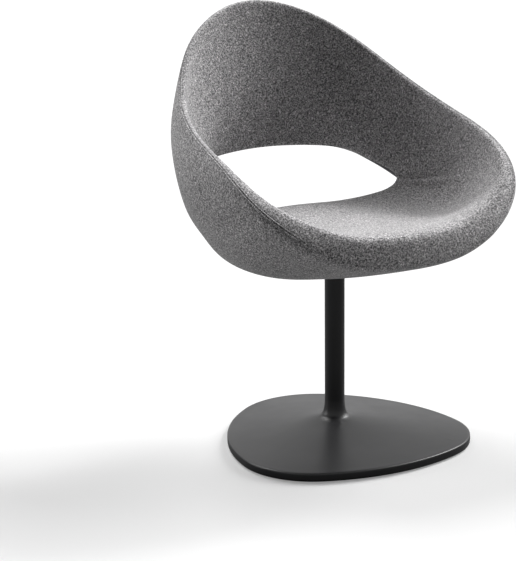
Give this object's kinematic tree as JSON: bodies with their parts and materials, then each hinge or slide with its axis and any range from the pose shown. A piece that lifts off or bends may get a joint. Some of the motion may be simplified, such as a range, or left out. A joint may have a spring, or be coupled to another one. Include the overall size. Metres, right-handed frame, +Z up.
{
  "type": "pedestal swivel armchair",
  "caption": "Padded bucket armchair with a low opening in the back, on a slim swivelling column and a flat rounded-triangle base.",
  "frame": {"origin": "on the floor under the middle of the chair's outline; the swivel axis stands 22 mm in front of it", "axes": "+Z up, -Y towards the open front of the seat, +X to the sitter's left"},
  "size_m": [0.6192, 0.6295, 0.8335],
  "materials": {
    "black_coat": "satin black powder coat",
    "ballast_steel": "rolled steel, oiled",
    "plated_steel": "zinc plated",
    "plain_steel": "turned steel",
    "bearing_steel": "ground and polished",
    "cage_brass": "stamped sheet",
    "mount_coat": "matt black",
    "glide_plastic": "nylon, fine grain",
    "bush_plastic": "natural acetal",
    "black_plastic": "moulded, fine grain",
    "shell_plastic": "glass-reinforced laminate",
    "plywood": "unfinished beech plywood",
    "foam": "moulded foam",
    "felt": "grey melange wool felt",
    "black_screw": "black oxide"
  },
  "bodies": {
    "base": {"base_casting": "black_coat", "ballast_plate": "ballast_steel", "ballast_screws": "plated_steel", "glides": "glide_plastic", "column_tube": "black_coat", "column_plug": "plain_steel", "column_washer": "plated_steel", "column_bolt": "plated_steel", "lower_bush": "bush_plastic", "upper_bush": "bush_plastic", "lower_race": "bearing_steel"},
    "bearing": {"bearing_balls": "bearing_steel", "bearing_cage": "cage_brass"},
    "seat": {"upper_race": "bearing_steel", "spindle": "black_coat", "spindle_clip": "plain_steel", "bearing_collar": "black_plastic", "mounting_plate": "mount_coat", "mounting_washers": "plated_steel", "mounting_bolts": "plated_steel", "tee_nuts": "plated_steel", "mounting_block": "plywood", "shell_core": "shell_plastic", "comfort_foam": "foam", "outer_padding": "foam", "inner_cover": "felt", "outer_cover": "felt", "bottom_cover": "black_plastic", "cover_screws": "black_screw"}
  },
  "joints": [
    {"name": "seat_swivel", "type": "hinge", "parent": "base", "child": "seat", "pos_m": [0, -0.022, 0.3515], "axis": [0, 0, 1], "continuous": true},
    {"name": "bearing_roll", "type": "hinge", "parent": "base", "child": "bearing", "pos_m": [0, -0.022, 0.3515], "axis": [0, 0, 1], "continuous": true}
  ],
  "couplings": [
    {"joint": "bearing_roll", "follows": "seat_swivel", "ratio": 0.5}
  ]
}
